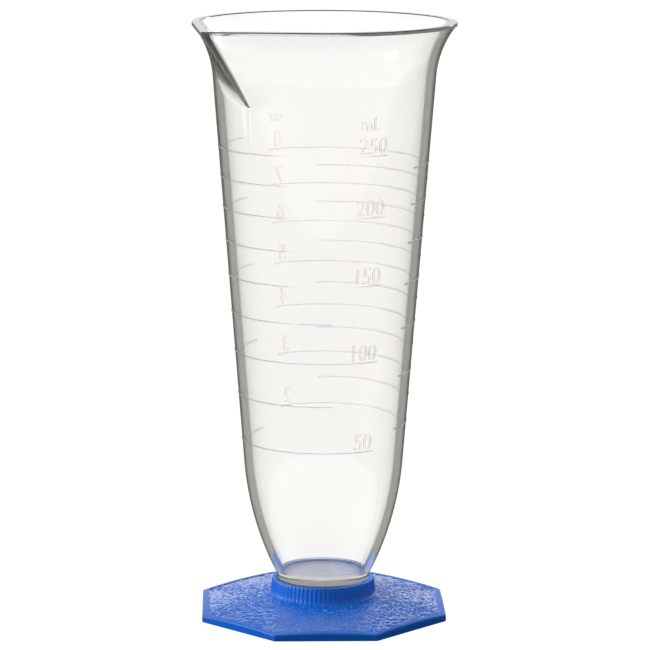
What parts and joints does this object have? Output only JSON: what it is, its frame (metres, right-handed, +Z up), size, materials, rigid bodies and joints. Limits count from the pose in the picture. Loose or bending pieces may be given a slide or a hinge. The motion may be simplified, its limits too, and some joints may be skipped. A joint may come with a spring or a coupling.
{
  "type": "graduated cylinder",
  "caption": "Clear conical measuring vessel with flared rim, V pouring spout and raised two-scale graduations, standing in the collar of a separate octagonal base.",
  "frame": {"origin": "on the table, under the middle of the octagonal base", "axes": "+Z up along the vessel's axis; two flats of the base are square to X and two to Y; the spout points over the flat between -X and -Y"},
  "size_m": [0.0803, 0.0803, 0.1833],
  "materials": {
    "clear_plastic": "clear, polished moulding",
    "blue_plastic": "opaque, fine pebble grain on the sloping top, smooth border, skirt and collar"
  },
  "bodies": {
    "base": {"octagonal_base": "blue_plastic"},
    "vessel": {"graduated_vessel": "clear_plastic"}
  },
  "joints": [
    {"name": "vessel_lift", "type": "slide", "parent": "base", "child": "vessel", "axis": [0, 0, 1], "range_m": [0, 0.03]}
  ]
}
